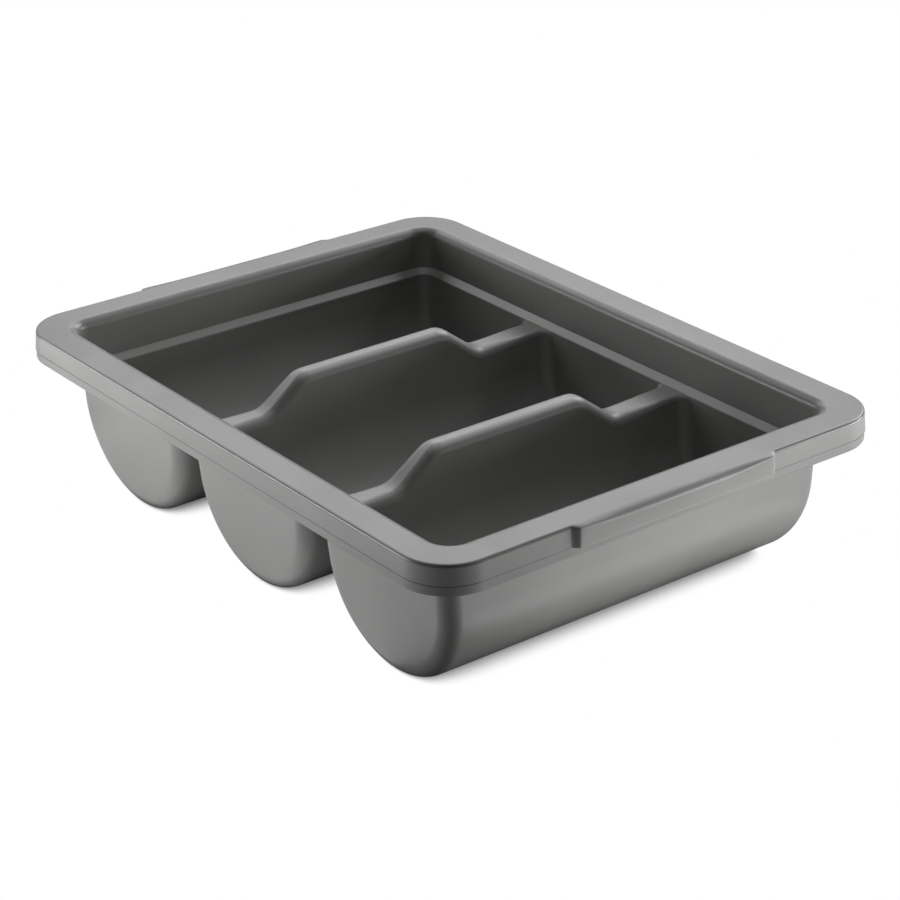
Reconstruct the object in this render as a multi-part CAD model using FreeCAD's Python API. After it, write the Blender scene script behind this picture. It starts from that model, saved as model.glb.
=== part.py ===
import FreeCAD, Part
import math
import os

from FreeCAD import Vector

# Cutlery box: one injection moulding with three round-bottomed troughs side by
# side under a shallow open tray, and a wide rim turned down into a skirt.
# Millimetres. X runs across the three troughs, Y along them, Z up.
# The origin is under the middle of the box, on the surface it stands on.

# Driving sizes of the rim and the tray above the troughs
overall_height = 99.5
wall = 3.0
rim_width = 22.3
rim_inner_round = 5.5
rim_outer_round = 1.6
rim_corner_radius = 28.0
skirt_depth = 11.9
skirt_draft = 5.0
lip_depth = 17.6
lip_setback = 0.7
lip_edge_round = 1.2
tray_depth = 26.4
ledge_width = 4.5
ledge_drop = 3.3
ledge_round = 1.2

# Driving sizes of the three troughs
trough_count = 3
trough_radius = 52.4
trough_spacing = 21.6
trough_length = 258.0
trough_end_draft = 3.6
trough_corner = 7.0
flank_lean = 6.0
foot_width = 16.0
neck_height = 3.0

# Driving sizes of the two dividers
divider_raise = 18.5
divider_top_length = 105.0
divider_ramp_run = 24.5
divider_bend_radius = 14.0
divider_crest_round = 6.0
divider_end_round = 2.8

# Driving sizes of the two grip pads on the short sides of the skirt
pad_length = 148.0
pad_outset = 3.6
pad_slope = 2.2
pad_drop = 0.8
pad_run = 11.0
pad_bend_radius = 9.0
pad_edge_round = 3.0

# Places that follow from the driving sizes
trough_pitch = 2 * trough_radius + trough_spacing
first_trough = -trough_pitch * (trough_count - 1) / 2
trough_places = [first_trough + i * trough_pitch for i in range(trough_count)]
divider_places = [first_trough + (i + 0.5) * trough_pitch for i in range(trough_count - 1)]
mouth_x = trough_places[-1] + trough_radius
mouth_y = trough_length / 2
half_x = mouth_x + ledge_width
half_y = mouth_y + ledge_width
opening_corner = trough_corner + ledge_width
top = overall_height
under_rim = top - wall
tray_floor = top - tray_depth
ledge_edge = tray_floor - ledge_drop
neck_bottom = ledge_edge - neck_height
skirt_bottom = top - skirt_depth
lip_bottom = top - lip_depth
trough_outer_radius = trough_radius + wall
trough_axis = math.sqrt(trough_outer_radius ** 2 - (foot_width / 2) ** 2)
channel_half = mouth_y - trough_corner
divider_top = ledge_edge + divider_raise
far = 4 * overall_height
touching = 1e-6
loose = 1e-3

# Each side of the ring: turn about Z, distance of its wall, half its length between corners
sides = {
    "right": (0, half_x, half_y - opening_corner),
    "back": (90, half_y, half_x - opening_corner),
    "left": (180, half_x, half_y - opening_corner),
    "front": (270, half_y, half_x - opening_corner),
}


def outline(corners):
    """Closed wire in the XZ plane from (x, z, radius) corners, rounded where the radius is not 0."""
    points = [Vector(x, 0, z) for x, z, radius in corners]
    turns = []
    for i, (x, z, radius) in enumerate(corners):
        here = points[i]
        to_before = (points[i - 1] - here).normalize()
        to_after = (points[(i + 1) % len(points)] - here).normalize()
        half_angle = to_before.getAngle(to_after) / 2
        reach = radius / math.tan(half_angle)
        inward = (to_before + to_after).normalize()
        middle = here + inward * (radius / math.sin(half_angle) - radius)
        turns.append((here + to_before * reach, middle, here + to_after * reach))
    edges = []
    for i, (start, middle, end) in enumerate(turns):
        before = turns[i - 1][2]
        if before.distanceToPoint(start) > touching:
            edges.append(Part.makeLine(before, start))
        if corners[i][2] > 0:
            edges.append(Part.Arc(start, middle, end).toShape())
    return Part.Wire(edges)


def plan(reach_x, reach_y, radius, height):
    """Rounded rectangle round the Z axis, at one height."""
    wire = outline([
        (-reach_x, -reach_y, radius),
        (reach_x, -reach_y, radius),
        (reach_x, reach_y, radius),
        (-reach_x, reach_y, radius),
    ])
    wire.rotate(Vector(0, 0, 0), Vector(1, 0, 0), -90)
    wire.translate(Vector(0, 0, height))
    return wire


def slab(x0, x1, y0, y1, z0, z1):
    """Plain block between two corners."""
    return Part.makeBox(x1 - x0, y1 - y0, z1 - z0, Vector(x0, y0, z0))


def straight_run(corners, side):
    """Straight stretch of one side of the ring; x in the section is the distance out from the wall."""
    turn, reach, straight = sides[side]
    run = Part.Face(outline(corners))
    run.translate(Vector(reach, -straight, 0))
    run = run.extrude(Vector(0, 2 * straight, 0))
    run.rotate(Vector(0, 0, 0), Vector(0, 0, 1), turn)
    return run


def bend(corners, side, sweep):
    """Bend that carries the section on from the end of one side, round the corner."""
    turn, reach, straight = sides[side]
    arc = Part.Face(outline(corners))
    arc.translate(Vector(reach, straight, 0))
    arc = arc.revolve(Vector(reach - opening_corner, straight, 0), Vector(0, 0, 1), sweep)
    arc.rotate(Vector(0, 0, 0), Vector(0, 0, 1), turn)
    return arc


def mitred_side(corners, side):
    """One side of the ring with half of the corner at each of its ends."""
    turn = sides[side][0]
    far_end = bend(corners, side, 45)
    along = Vector(-math.sin(math.radians(turn)), math.cos(math.radians(turn)), 0)
    near_end = far_end.mirror(Vector(0, 0, 0), along)
    return straight_run(corners, side).fuse([far_end, near_end]).removeSplitter()


def skirt_block(low, high, inset):
    """Solid inside the skirt's outer face between two heights, drawn in by an inset."""
    wires = []
    for height in (low, high):
        out = (top - height) * math.tan(math.radians(skirt_draft)) - inset
        reach_x = half_x + rim_width + out
        reach_y = half_y + rim_width + out
        wires.append(plan(reach_x, reach_y, rim_corner_radius + out, height))
    return Part.makeLoft(wires, True, True)


def opening_block(low, high, wider):
    """Upright solid inside the opening's wall, or inside its outer face when wider by the wall."""
    floor = Part.Face(plan(half_x + wider, half_y + wider, opening_corner + wider, low))
    return floor.extrude(Vector(0, 0, high - low))


def level_edges(shape, height, inner):
    """Edges of a ring that lie at one height, either round its opening or round its outside."""
    found = []
    for edge in shape.Edges:
        box = edge.BoundBox
        level = box.ZLength < loose and abs(box.ZMin - height) < loose
        in_x = max(abs(box.XMin), abs(box.XMax)) < half_x + wall
        in_y = max(abs(box.YMin), abs(box.YMax)) < half_y + wall
        if level and (in_x and in_y) == inner:
            found.append(edge)
    return found


def rim_ring():
    """Rim, skirt and lip all the way round: flat on top, rounded inside and out, hollow from below."""
    below = lip_bottom - wall
    shape = skirt_block(skirt_bottom, top, 0).cut(opening_block(below, far, 0))
    shape = shape.makeFillet(rim_outer_round, level_edges(shape, top, False))
    shape = shape.makeFillet(rim_inner_round, level_edges(shape, top, True))
    lip = skirt_block(lip_bottom, skirt_bottom, lip_setback)
    lip = lip.makeFillet(lip_edge_round, level_edges(lip, lip_bottom, False))
    hollow = skirt_block(below, under_rim, wall).cut(opening_block(below, under_rim, wall))
    return shape.fuse(lip).cut(hollow).cut(opening_block(below, top - rim_inner_round, wall))


def rim_part(ring, side):
    """Straight stretch of the rim on one side, with the round that leads down into the tray."""
    turn, reach, straight = sides[side]
    space = slab(0, far, -straight, straight, under_rim, far)
    space = space.fuse(slab(0, reach + wall, -straight, straight, top - rim_inner_round, far))
    space.rotate(Vector(0, 0, 0), Vector(0, 0, 1), turn)
    return ring.common(space).removeSplitter()


def skirt_part(ring, side):
    """Straight stretch of the turned-down skirt and its lip on one side."""
    turn, reach, straight = sides[side]
    space = slab(reach + wall, far, -straight, straight, 0, under_rim)
    space.rotate(Vector(0, 0, 0), Vector(0, 0, 1), turn)
    return ring.common(space)


def ring_corner(ring, side):
    """Corner of the ring that follows one side, turning from it to the next."""
    turn, reach, straight = sides[side]
    space = slab(reach - opening_corner, far, straight, far, 0, far)
    space.rotate(Vector(0, 0, 0), Vector(0, 0, 1), turn)
    return ring.common(space)


def tray_wall_section():
    """Upright wall of the open tray, from the rim down to the ledge."""
    return [
        (0, top - rim_inner_round, 0),
        (wall, top - rim_inner_round, 0),
        (wall, tray_floor, 0),
        (0, tray_floor, 0),
    ]


def ledge_section():
    """Sloping shoulder at the foot of the tray wall, with the short neck above the troughs."""
    slope = ledge_drop / ledge_width
    under = wall * math.hypot(1, slope)
    neck = wall - ledge_width
    return [
        (0, tray_floor, 0),
        (wall, tray_floor, 0),
        (wall, tray_floor + wall * slope - under, 0),
        (neck, tray_floor + neck * slope - under, 0),
        (neck, neck_bottom, 0),
        (-ledge_width, neck_bottom, 0),
        (-ledge_width, ledge_edge, ledge_round),
    ]


def grip_pad(ring):
    """Raised pad on the right side of the skirt, where a hand takes hold; its ends run out in an S."""
    crown = half_x + rim_width - rim_outer_round
    skirt_x = half_x + rim_width
    face_x = skirt_x + pad_outset
    half = pad_length / 2
    pad_bottom = skirt_bottom - pad_drop
    section = Part.Face(outline([
        (crown, top, 0),
        (face_x, top - pad_slope, pad_edge_round),
        (face_x, pad_bottom, 0),
        (crown, pad_bottom, 0),
    ]))
    section.translate(Vector(0, -half, 0))
    block = section.extrude(Vector(0, pad_length, 0))
    ends = outline([
        (half_x, -half, 0),
        (skirt_x, -half, pad_bend_radius),
        (face_x, pad_run - half, pad_bend_radius),
        (face_x, half - pad_run, pad_bend_radius),
        (skirt_x, half, pad_bend_radius),
        (half_x, half, 0),
    ])
    ends.rotate(Vector(0, 0, 0), Vector(1, 0, 0), -90)
    block = block.common(Part.Face(ends).extrude(Vector(0, 0, far)))
    behind = slab(0, crown, -far, far, 0, far)
    return block.cut(ring).cut(skirt_block(0, under_rim, wall)).cut(behind)


def trough_form(place, thicker, height):
    """Solid that fills one trough, or its outside when thicker by the wall, up to a height."""
    radius = trough_radius + thicker
    lean = math.radians(flank_lean)
    points = []
    for hand in (-1, 1):
        shared = any(abs(place + hand * trough_pitch / 2 - other) < 1 for other in divider_places)
        angle = lean if shared else 0
        low = Vector(place + hand * radius * math.cos(angle), 0, trough_axis - radius * math.sin(angle))
        rise = height - low.z
        points.append((low, low + Vector(hand * rise * math.tan(angle), 0, rise)))
    (left_low, left_high), (right_low, right_high) = points
    bottom = Vector(place, 0, trough_axis - radius)
    section = Part.Wire([
        Part.Arc(left_low, bottom, right_low).toShape(),
        Part.makeLine(right_low, right_high),
        Part.makeLine(right_high, left_high),
        Part.makeLine(left_high, left_low),
    ])
    form = Part.Face(section)
    form.translate(Vector(0, -far, 0))
    form = form.extrude(Vector(0, 2 * far, 0))
    end = mouth_y + thicker
    draft = (neck_bottom + far) * math.tan(math.radians(trough_end_draft))
    profile = Part.Face(Part.makePolygon([
        Vector(place - far, draft - end, -far),
        Vector(place - far, -end, neck_bottom),
        Vector(place - far, -end, far),
        Vector(place - far, end, far),
        Vector(place - far, end, neck_bottom),
        Vector(place - far, end - draft, -far),
        Vector(place - far, draft - end, -far),
    ]))
    form = form.common(profile.extrude(Vector(2 * far, 0, 0)))
    ends = []
    for edge in form.Edges:
        box = edge.BoundBox
        at_end = box.YMax < -end / 2 or box.YMin > end / 2
        if at_end and box.ZLength > touching:
            ends.append(edge)
    return form.makeFillet(trough_corner + thicker, ends)


def divider_zone(place):
    """Space given to a divider: the straight stretch between two troughs, and the web at its ends."""
    reach = trough_pitch / 2 - trough_radius + trough_corner + wall
    middle = slab(place - reach, place + reach, -channel_half, channel_half, trough_axis, far)
    web = slab(place - reach, place + reach, -mouth_y, mouth_y, neck_bottom, far)
    return middle.fuse(web).removeSplitter()


def trough(place):
    """One trough as a shell, open above, with a narrow flat under it to stand on."""
    shell = trough_form(place, wall, neck_bottom).cut(trough_form(place, 0, top))
    shell = shell.cut(slab(-far, far, -far, far, -far, 0))
    for other in divider_places:
        if abs(other - place) < trough_pitch:
            shell = shell.cut(divider_zone(other))
    return shell


def crest_block(place, lower):
    """Everything under the crest line of a divider: low at both ends and raised in the middle."""
    raised = divider_top_length / 2
    foot = raised + divider_ramp_run
    low = ledge_edge - lower
    high = divider_top - lower
    side = outline([
        (-far, low, 0),
        (-foot, low, divider_bend_radius + lower),
        (-raised, high, divider_bend_radius - lower),
        (raised, high, divider_bend_radius - lower),
        (foot, low, divider_bend_radius + lower),
        (far, low, 0),
        (far, -far, 0),
        (-far, -far, 0),
    ])
    side.rotate(Vector(0, 0, 0), Vector(0, 0, 1), 90)
    side.translate(Vector(place - trough_pitch / 2, 0, 0))
    return Part.Face(side).extrude(Vector(trough_pitch, 0, 0))


def round_crest(fin):
    """Divider with a full, round crest that eases to a small round where it meets the ledge."""
    bench = FreeCAD.newDocument()
    base = bench.addObject("Part::Feature", "fin")
    base.Shape = fin
    edges = []
    for number, edge in enumerate(fin.Edges, 1):
        box = edge.BoundBox
        if box.ZMin > ledge_edge - loose and box.YLength > loose:
            radii = []
            for at in (edge.FirstParameter, edge.LastParameter):
                at_ledge = abs(edge.valueAt(at).y) > channel_half - loose
                radii.append(divider_end_round if at_ledge else divider_crest_round)
            edges.append((number, radii[0], radii[1]))
    rounded = bench.addObject("Part::Fillet", "rounded")
    rounded.Base = base
    rounded.Edges = edges
    bench.recompute()
    shape = rounded.Shape
    FreeCAD.closeDocument(bench.Name)
    return shape


def divider(place):
    """One divider: a folded fin between two troughs, hollow and open below."""
    beside = [other for other in trough_places if abs(other - place) < trough_pitch]
    fin = crest_block(place, 0).common(divider_zone(place))
    hollow = crest_block(place, wall)
    for other in beside:
        fin = fin.cut(trough_form(other, 0, far))
        hollow = hollow.cut(trough_form(other, wall, far))
    return round_crest(fin.removeSplitter()).cut(hollow)


def split_ends(shell):
    """A trough shell parted into its front end, its long channel and its back end."""
    front = shell.common(slab(-far, far, -far, -channel_half, -far, far))
    channel = shell.common(slab(-far, far, -channel_half, channel_half, -far, far))
    back = shell.common(slab(-far, far, channel_half, far, -far, far))
    return front, channel, back


nodes = {}
ring = rim_ring()
corner_names = {"right": "back_right", "back": "back_left", "left": "front_left", "front": "front_right"}
for side in sides:
    nodes["rim_" + side] = rim_part(ring, side)
    nodes["skirt_" + side] = skirt_part(ring, side)
    nodes["rim_corner_" + corner_names[side]] = ring_corner(ring, side)
    nodes["tray_wall_" + side] = mitred_side(tray_wall_section(), side)
    nodes["ledge_" + side] = mitred_side(ledge_section(), side)
nodes["grip_pad_right"] = grip_pad(ring)
nodes["grip_pad_left"] = grip_pad(ring).mirror(Vector(0, 0, 0), Vector(1, 0, 0))
for name, place in zip(("left", "middle", "right"), trough_places):
    front, channel, back = split_ends(trough(place))
    nodes["trough_" + name] = channel
    nodes["trough_" + name + "_front_end"] = front
    nodes["trough_" + name + "_back_end"] = back
for name, place in zip(("left", "right"), divider_places):
    nodes["divider_" + name] = divider(place)

os.makedirs("parts", exist_ok=True)
for name, shape in nodes.items():
    shape.exportStep("parts/" + name + ".step")
    box = shape.BoundBox
    print(name, len(shape.Solids), "solid", round(shape.Volume / 1000, 2), "cm3", shape.isValid(),
          [round(v, 2) for v in (box.XMin, box.YMin, box.ZMin, box.XMax, box.YMax, box.ZMax)])
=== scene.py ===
import math

import bmesh
import bpy
from mathutils import Matrix, Vector


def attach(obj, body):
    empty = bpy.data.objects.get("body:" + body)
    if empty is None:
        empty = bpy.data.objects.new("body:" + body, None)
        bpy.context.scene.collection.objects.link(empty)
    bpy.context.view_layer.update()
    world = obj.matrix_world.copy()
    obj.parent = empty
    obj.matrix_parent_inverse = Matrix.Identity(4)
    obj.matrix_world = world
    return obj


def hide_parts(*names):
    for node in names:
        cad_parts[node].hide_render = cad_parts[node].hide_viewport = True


bpy.ops.wm.read_factory_settings(use_empty=True)
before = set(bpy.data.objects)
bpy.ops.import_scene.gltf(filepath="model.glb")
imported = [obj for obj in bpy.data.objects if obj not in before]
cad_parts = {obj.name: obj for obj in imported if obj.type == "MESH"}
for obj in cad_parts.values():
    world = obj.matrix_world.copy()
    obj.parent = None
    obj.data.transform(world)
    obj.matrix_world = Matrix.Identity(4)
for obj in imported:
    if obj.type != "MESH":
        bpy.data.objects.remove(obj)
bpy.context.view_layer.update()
scene = bpy.context.scene
scene.view_settings.view_transform = "Standard"

# Troughs: three long round-bottomed channels with drafted, rounded ends.
# They are the deepest draw of one injection moulding in mid-grey plastic, with a
# fine satin grain all over and faint lines inside, where the core slid out of them.


class Value:
    """A node socket that takes part in sums; an expression on values adds its Math nodes."""

    def __init__(self, tree, socket):
        self.tree = tree
        self.socket = socket

    def math(self, operation, first, second=None):
        node = self.tree.nodes.new("ShaderNodeMath")
        node.operation = operation
        for place, value in enumerate((first, second)):
            if isinstance(value, Value):
                self.tree.links.new(value.socket, node.inputs[place])
            elif value is not None:
                node.inputs[place].default_value = value
        return Value(self.tree, node.outputs[0])

    def __add__(self, other):
        return self.math("ADD", self, other)

    def __radd__(self, other):
        return self.math("ADD", other, self)

    def __sub__(self, other):
        return self.math("SUBTRACT", self, other)

    def __rsub__(self, other):
        return self.math("SUBTRACT", other, self)

    def __mul__(self, other):
        return self.math("MULTIPLY", self, other)

    def __rmul__(self, other):
        return self.math("MULTIPLY", other, self)

    def __abs__(self):
        return self.math("ABSOLUTE", self)


class Finish:
    """One material, and one way to add any node to it."""

    def __init__(self, name):
        self.material = bpy.data.materials.new(name)
        self.material.use_nodes = True
        self.tree = self.material.node_tree
        self.tree.nodes.clear()

    def node(self, kind, sockets, output=0, **settings):
        made = self.tree.nodes.new("ShaderNode" + kind)
        for setting, value in settings.items():
            setattr(made, setting, value)
        for place, value in sockets.items():
            if isinstance(value, Value):
                self.tree.links.new(value.socket, made.inputs[place])
            else:
                made.inputs[place].default_value = value
        return Value(self.tree, made.outputs[output]) if made.outputs else None

    def noise(self, place, scale, detail):
        return self.node("TexNoise", {"Vector": place, "Scale": scale, "Detail": detail}, "Fac")

    def rise(self, value, low, high):
        """0 where the value is below low, 1 above high, and smooth between them."""
        return self.node("MapRange", {"Value": value, "From Min": low, "From Max": high}, "Result",
                         interpolation_type="SMOOTHSTEP")

    def blend(self, share, first, second):
        """The first colour where the share is 0, and the second where it is 1."""
        return self.node("Mix", {0: share, 6: first, 7: second}, 2, data_type="RGBA")


dark_grey, light_grey = (0.238, 0.2385, 0.233, 1), (0.262, 0.2625, 0.257, 1)
painted_top_light_grey = (0.42, 0.42, 0.412, 1)
painted_edge_shade, painted_groove_shade = (0.05, 0.05, 0.048, 1), (0.06, 0.06, 0.058, 1)


def moulded_plastic(name, handled=0.0, drawn=0.0, painted_top_light=None, grooves=(), painted_edge_band=None, marks=()):
    """Mid-grey satin plastic: smoother where it is handled, lined where the mould slid along it."""
    finish = Finish(name)
    place = finish.node("TexCoord", {}, "Object")
    height = finish.node("SeparateXYZ", {"Vector": place}, "Z")
    flow = finish.noise(place, 11.0, 4.0)
    grain = finish.noise(place, 1700.0, 3.0)
    smear = finish.rise(finish.noise(place, 28.0, 5.0), 0.4, 0.7)
    tone = finish.rise(flow * 0.85 + finish.noise(place, 900.0, 2.0) * 0.15, 0.35, 0.65)
    colour = finish.blend(tone, dark_grey, light_grey)
    rough = 0.34 - 0.04 * handled + 0.05 * smear + 0.04 * grain
    relief = 0.35 * grain
    # Painted light: faces that point upwards, within a band of heights, are turned lighter.
    if painted_top_light:
        amount, low, high = painted_top_light
        facing = finish.node("SeparateXYZ", {"Vector": finish.node("NewGeometry", {}, "Normal")}, "Z")
        top_light_share = amount * finish.rise(facing, 0.5, 0.9) * finish.rise(height, low, high)
        colour = finish.blend(top_light_share, colour, painted_top_light_grey)
    # Painted shade: a dark band along the rim's rounded outer edge.
    if painted_edge_band:
        low, high, half_width, half_depth = painted_edge_band
        beside = abs(finish.node("SeparateXYZ", {"Vector": place}, "X")) - half_width
        before = abs(finish.node("SeparateXYZ", {"Vector": place}, "Y")) - half_depth
        outside = finish.rise(beside.math("MAXIMUM", beside, before), -0.014, -0.010)
        above = finish.rise(height, low, low + 0.0006)
        below = 1.0 - finish.rise(height, high - 0.0004, high)
        colour = finish.blend(0.65 * outside * above * below, colour, painted_edge_shade)
    if drawn:
        stretched = finish.node("Mapping", {"Vector": place, "Scale": (900.0, 12.0, 900.0)})
        lines = finish.noise(stretched, 1.0, 2.0)
        relief = relief + drawn * lines
        rough = rough + 0.03 * lines
    # Each groove is a bump line, and painted shade darkens its colour.
    for level in grooves:
        depth = 1.0 - finish.rise(abs(height - level), 0.0002, 0.0006)
        relief = relief - 6.0 * depth
        colour = finish.blend(depth, colour, painted_groove_shade)
    for middle, radius in marks:
        off = finish.node("VectorMath", {0: place, 1: middle}, "Value", operation="DISTANCE")
        relief = relief + 2.0 * (1.0 - finish.rise(abs(off - radius), 0.0, 0.0009))
    bump = finish.node("Bump", {"Height": relief, "Strength": 0.25, "Distance": 0.0001})
    shader = finish.node("BsdfPrincipled", {
        "Base Color": colour, "Roughness": rough, "Normal": bump, "IOR": 1.5})
    finish.node("OutputMaterial", {"Surface": shader})
    return finish.material


def dress(material, *names):
    """Give CAD nodes one finish."""
    for name in names:
        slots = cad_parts[name].data.materials
        slots.clear()
        slots.append(material)


trough_plastic = moulded_plastic("trough_plastic", drawn=0.5)
dress(trough_plastic, "trough_left", "trough_middle")
faint_ring, ring_radius = (0.0777, 0.0858, 0.0352), 0.006
right_trough_plastic = moulded_plastic("right_trough_plastic", drawn=0.5, marks=[(faint_ring, ring_radius)])
dress(right_trough_plastic, "trough_right")
for which in ("left", "middle", "right"):
    dress(trough_plastic, "trough_" + which + "_front_end", "trough_" + which + "_back_end")

# Dividers: two folds of the same wall between the troughs, hollow and open below.
# Their round crests drop at both ends so that fingers reach long handles, and
# those crests are smoother than the sides, with painted light lightening their tops.

crest_low, crest_high = 0.074, 0.086
divider_plastic = moulded_plastic("divider_plastic", handled=0.6, drawn=0.3,
                                  painted_top_light=(0.5, crest_low, crest_high))
dress(divider_plastic, "divider_left", "divider_right")

# Ledge and tray wall: the sloping shoulder round the mouths of the troughs, and
# the upright wall of the shallow tray above them, drawn straight up in the mould.

ledge_low, ledge_high = 0.060, 0.068
tray_plastic = moulded_plastic("tray_plastic")
# Painted light: the ledge's upward-facing faces are turned lighter.
ledge_plastic = moulded_plastic("ledge_plastic", painted_top_light=(0.45, ledge_low, ledge_high))
for side in ("front", "back", "left", "right"):
    dress(ledge_plastic, "ledge_" + side)
    dress(tray_plastic, "tray_wall_" + side)

# Rim, skirt and corners: a wide flat rim, turned down all round into a skirt that
# stiffens it. The skirt ends in a lip set back below a fine step, and painted shade
# draws a dark line at that step, at the lip's foot and along the rim's rounded outer edge.

skirt_step, lip_foot = 0.0876, 0.0821
edge_foot, edge_top = 0.0974, 0.0993
rim_edge, rim_front_edge = 0.2056, 0.1558
rim_plastic = moulded_plastic("rim_plastic", handled=1.0, grooves=[skirt_step, lip_foot],
                              painted_edge_band=(edge_foot, edge_top, rim_edge, rim_front_edge))
for side in ("front", "back", "left", "right"):
    dress(rim_plastic, "rim_" + side, "skirt_" + side)
for corner in ("front_left", "front_right", "back_left", "back_right"):
    dress(rim_plastic, "rim_corner_" + corner)

# Grip pads: a raised pad on each short side of the rim, where the box is lifted.
# Each is a swelling of the skirt in the same plastic: its ends rise in a short
# steep S, and its soft top edge falls away from the rim towards the middle.

pad_plastic = moulded_plastic("pad_plastic", handled=1.0)
rim_top, crown = 0.0995, 0.2040
pad_outset, pad_half, end_run = 0.0036, 0.0715, 0.0048
pad_bottom, bottom_round, tucked = 0.0868, 0.0008, 0.0009
edge_drop, extra_drop, drop_run = 0.0016, 0.0029, 0.034
shoulder, cheek = 0.6, 0.45
behind, below_rim = 0.2045, 0.0006
sunk = 0.00006
draft = math.tan(math.radians(5))
end_steps, drop_steps = 14, 10


def ease(amount):
    """0 to 1 in an S."""
    amount = min(max(amount, 0.0), 1.0)
    return amount * amount * (3 - 2 * amount)


def curve(points, count):
    """Points along a Bezier curve, from the first of its handles to the last."""
    line = []
    for step in range(count + 1):
        rest = list(points)
        while len(rest) > 1:
            rest = [a.lerp(b, step / count) for a, b in zip(rest, rest[1:])]
        line.append(rest[0])
    return line


def pad_section(along):
    """Outline of the pad across the rim, as x and z, at one place along it."""
    raised = ease((pad_half - abs(along)) / end_run)
    drop = edge_drop + extra_drop * ease((pad_half - end_run - abs(along)) / drop_run)
    hidden = sunk * (1 - raised)
    bottom = pad_bottom + tucked * (1 - raised)

    def face(height):
        return rim_edge + pad_outset * raised + (rim_top - height) * draft * (1 - raised) - hidden

    top = rim_top - hidden
    edge = face(top - drop)
    line = curve([Vector((crown, top)), Vector((crown + shoulder * (edge - crown), top)),
                  Vector((edge, top - cheek * drop)), Vector((edge, top - drop))], 12)
    foot = face(bottom)
    line += curve([Vector((foot, bottom + bottom_round)), Vector((foot, bottom)),
                   Vector((foot - bottom_round, bottom))], 4)
    line += [Vector((behind, bottom)), Vector((behind, top - below_rim))]
    return line


def grip_pad(name, hand):
    """A closed pad on the right (hand 1) or left (hand -1) side of the rim."""
    places = [pad_half - end_run * step / end_steps for step in range(end_steps + 1)]
    places += [pad_half - end_run - drop_run * step / drop_steps for step in range(1, drop_steps + 1)]
    places += [0.02, 0.0]
    places = [-place for place in places] + [place for place in reversed(places) if place > 0]
    mesh = bmesh.new()
    rings = []
    for along in places:
        rings.append([mesh.verts.new((hand * point.x, along, point.y)) for point in pad_section(along)])
    for near, far in zip(rings, rings[1:]):
        for step in range(len(near)):
            after = (step + 1) % len(near)
            mesh.faces.new((near[step], near[after], far[after], far[step]))
    mesh.faces.new(rings[0])
    mesh.faces.new(rings[-1])
    bmesh.ops.recalc_face_normals(mesh, faces=mesh.faces)
    data = bpy.data.meshes.new(name)
    mesh.to_mesh(data)
    mesh.free()
    data.shade_smooth()
    data.set_sharp_from_angle(angle=math.radians(50))
    data.materials.append(pad_plastic)
    made = bpy.data.objects.new(name, data)
    scene.collection.objects.link(made)
    return made


for hand, side in ((-1, "left"), (1, "right")):
    pad = grip_pad("pad_" + side, hand)
    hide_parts("grip_pad_" + side)
    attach(pad, "root")

# Floor: a plain white sheet that fills the view. It isn't part of the object. The
# camera sees it white, with a soft shadow close to where the box covers it, and
# the box is lit from it as from matt paper.

shadow_reach, shadow_end = 0.045, 0.30
bpy.ops.mesh.primitive_plane_add(size=12, location=(0, 0, 0))
floor = bpy.context.object
floor.name = "floor"
paper = Finish("paper")
seen = paper.node("LightPath", {}, "Is Camera Ray")
openness = paper.node("AmbientOcclusion", {"Distance": shadow_reach}, "AO", samples=32)
shade = paper.blend(paper.rise(openness, 0.0, shadow_end), (0.01, 0.01, 0.01, 1), (1, 1, 1, 1))
bright = paper.node("Emission", {"Color": shade, "Strength": 1.0})
matt = paper.node("BsdfDiffuse", {"Color": (0.5, 0.5, 0.5, 1)})
paper.node("OutputMaterial", {"Surface": paper.node("MixShader", {0: seen, 1: matt, 2: bright})})
floor.data.materials.append(paper.material)

# Room: white wherever the camera looks past the floor, and dark otherwise, so that
# only the lamps light the box.

room = bpy.data.worlds.new("room")
scene.world = room
room.use_nodes = True
walls = room.node_tree.nodes["Background"]
looked_at = room.node_tree.nodes.new("ShaderNodeLightPath")
walls.inputs["Color"].default_value = (1, 1, 1, 1)
room.node_tree.links.new(looked_at.outputs["Is Camera Ray"], walls.inputs["Strength"])

# Lamps: soft boxes behind and beside the box, one overhead, and glowing panels
# let into the table to its right and in front, which light its outside from below.


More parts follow.
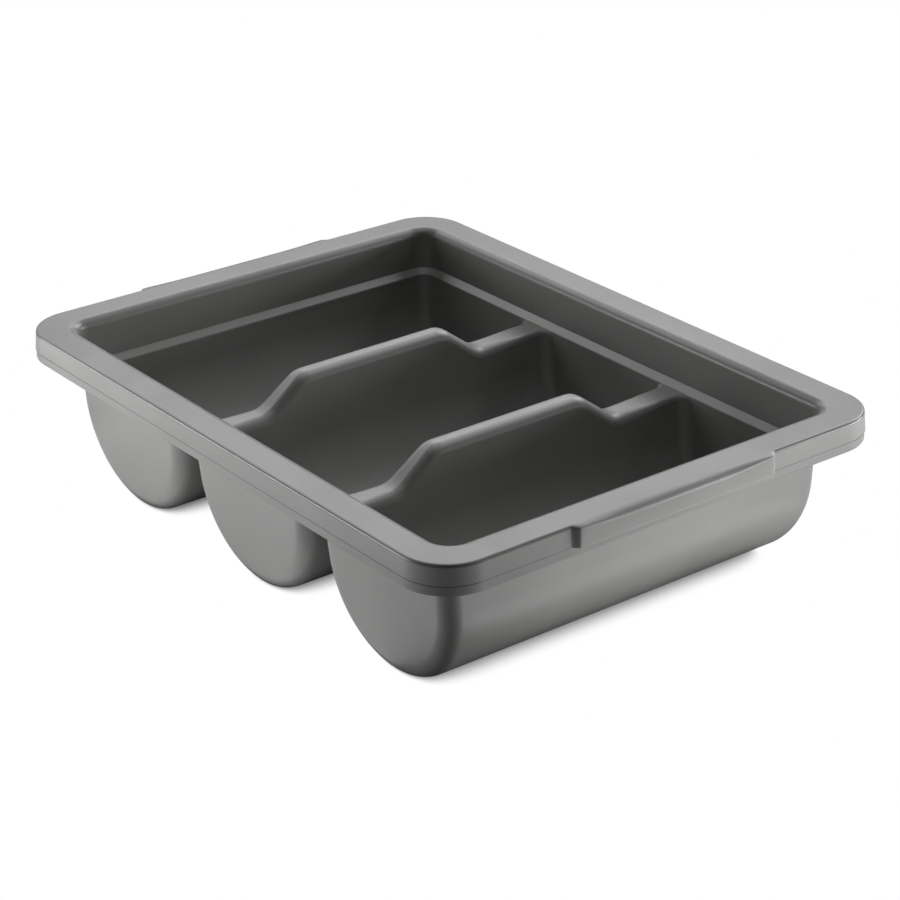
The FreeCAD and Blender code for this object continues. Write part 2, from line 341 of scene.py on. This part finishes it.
def lamp(name, place, width, height, watts, aim=Vector((0, 0, 0.05))):
    data = bpy.data.lights.new(name, "AREA")
    data.shape = "RECTANGLE"
    data.size = width
    data.size_y = height
    data.energy = watts
    made = bpy.data.objects.new(name, data)
    scene.collection.objects.link(made)
    made.location = place
    made.rotation_mode = "QUATERNION"
    made.rotation_quaternion = (aim - Vector(place)).to_track_quat("-Z", "Y")
    made.visible_camera = False
    return made


def table_panel(name, place, width, height, watts, turned):
    made = lamp(name, place, width, height, watts)
    made.rotation_mode = "XYZ"
    made.rotation_euler = (math.pi, 0, turned)
    return made


lamp("soft_box_back_right", (-0.224, 1.623, 1.197), 1.2, 1.0, 23.2)
lamp("soft_box_back", (-1.306, 0.989, 1.197), 1.2, 1.0, 10.4)
lamp("soft_box_back_left", (-1.623, -0.224, 1.197), 1.2, 1.0, 10.5)
lamp("soft_box_left", (-1.204, -1.591, 0.190), 1.2, 0.5, 14.5)
lamp("soft_box_right", (1.204, 1.591, 0.190), 1.2, 0.5, 18.0)
lamp("soft_box_top", (0.028, -0.021, 2.05), 1.2, 1.2, 5.8)
table_panel("table_panel_right", (0.634, 0.837, 0.003), 0.6, 0.7, 42.0, math.atan2(0.837, 0.634))
table_panel("table_panel_left", (-0.634, -0.837, 0.003), 0.6, 0.7, 38.5, math.atan2(-0.837, -0.634))
table_panel("table_square_right", (0.37, 0.12, 0.003), 0.24, 0.24, 0.20, 0)
table_panel("table_square_front", (-0.15, -0.30, 0.003), 0.30, 0.24, 0.15, 0)
table_panel("table_strip_right", (0.235, 0.04, 0.003), 0.06, 0.25, 0.085, 0)
table_panel("table_strip_front", (-0.05, -0.165, 0.003), 0.36, 0.07, 0.065, 0)

# Camera: stands in front of the near corner and looks down at the box, as in the
# photograph, through a lens of about 104 mm.

camera = bpy.data.objects.new("camera", bpy.data.cameras.new("camera"))
scene.collection.objects.link(camera)
camera.data.sensor_width = 36
camera.data.lens = 103.7508
camera.data.clip_start = 0.1
camera.data.clip_end = 50
eye = (1.0908, -0.8259, 0.6916)
yaw, pitch, roll = 0.916539577, 0.441421602, -0.0102377845
turn = (Matrix.Rotation(yaw, 4, "Z") @ Matrix.Rotation(math.pi / 2 - pitch, 4, "X")
        @ Matrix.Rotation(roll, 4, "Z"))
camera.matrix_world = Matrix.Translation(eye) @ turn
scene.camera = camera
